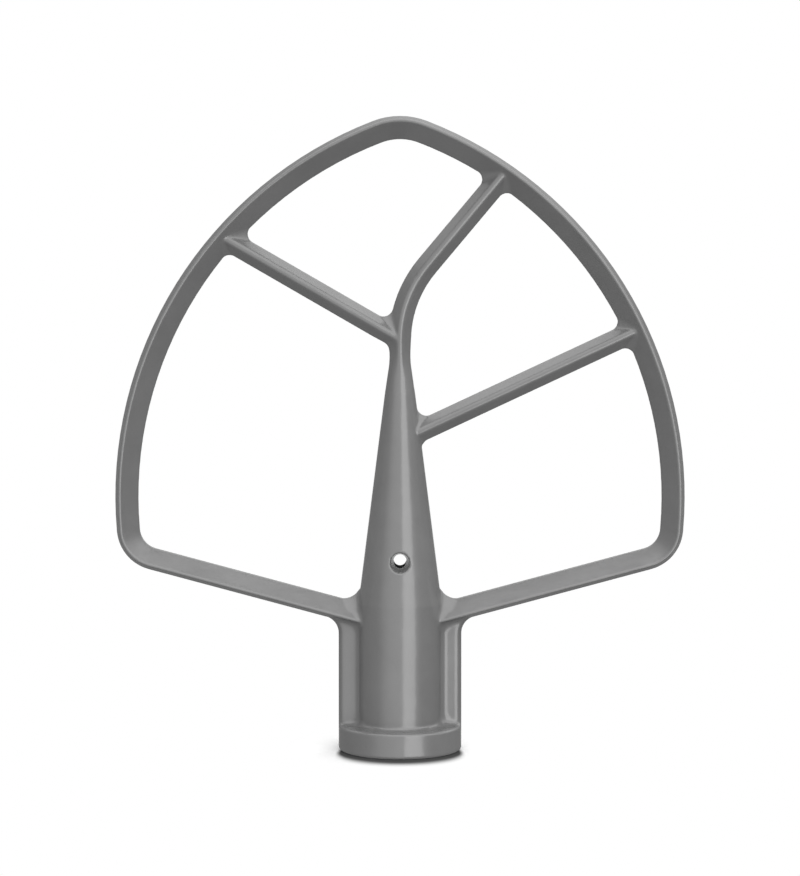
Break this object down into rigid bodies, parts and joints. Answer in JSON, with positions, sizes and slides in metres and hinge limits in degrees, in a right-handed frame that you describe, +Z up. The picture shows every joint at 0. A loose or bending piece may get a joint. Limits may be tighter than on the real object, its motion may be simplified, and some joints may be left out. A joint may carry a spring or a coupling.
{
  "type": "stand mixer flat beater",
  "caption": "Flat beater for a stand mixer: a pointed open arch on a round hub, braced by slanted bars. A socket in the hub locks on the mixer's shaft, which turns it through dough.",
  "frame": {"origin": "centre of the collar's flat end, at the mouth of the shaft's socket", "axes": "+Z up the hub's axis towards the arch's tip, +X across the blade towards the side with the bent bar, Y through the blade's thickness, whose middle plane is Y = 0"},
  "size_m": [0.14, 0.0302, 0.1555],
  "materials": {
    "grey_coating": "smooth satin grey coating over cast aluminium"
  },
  "bodies": {
    "root": {"flat_beater": "grey_coating"}
  },
  "joints": []
}
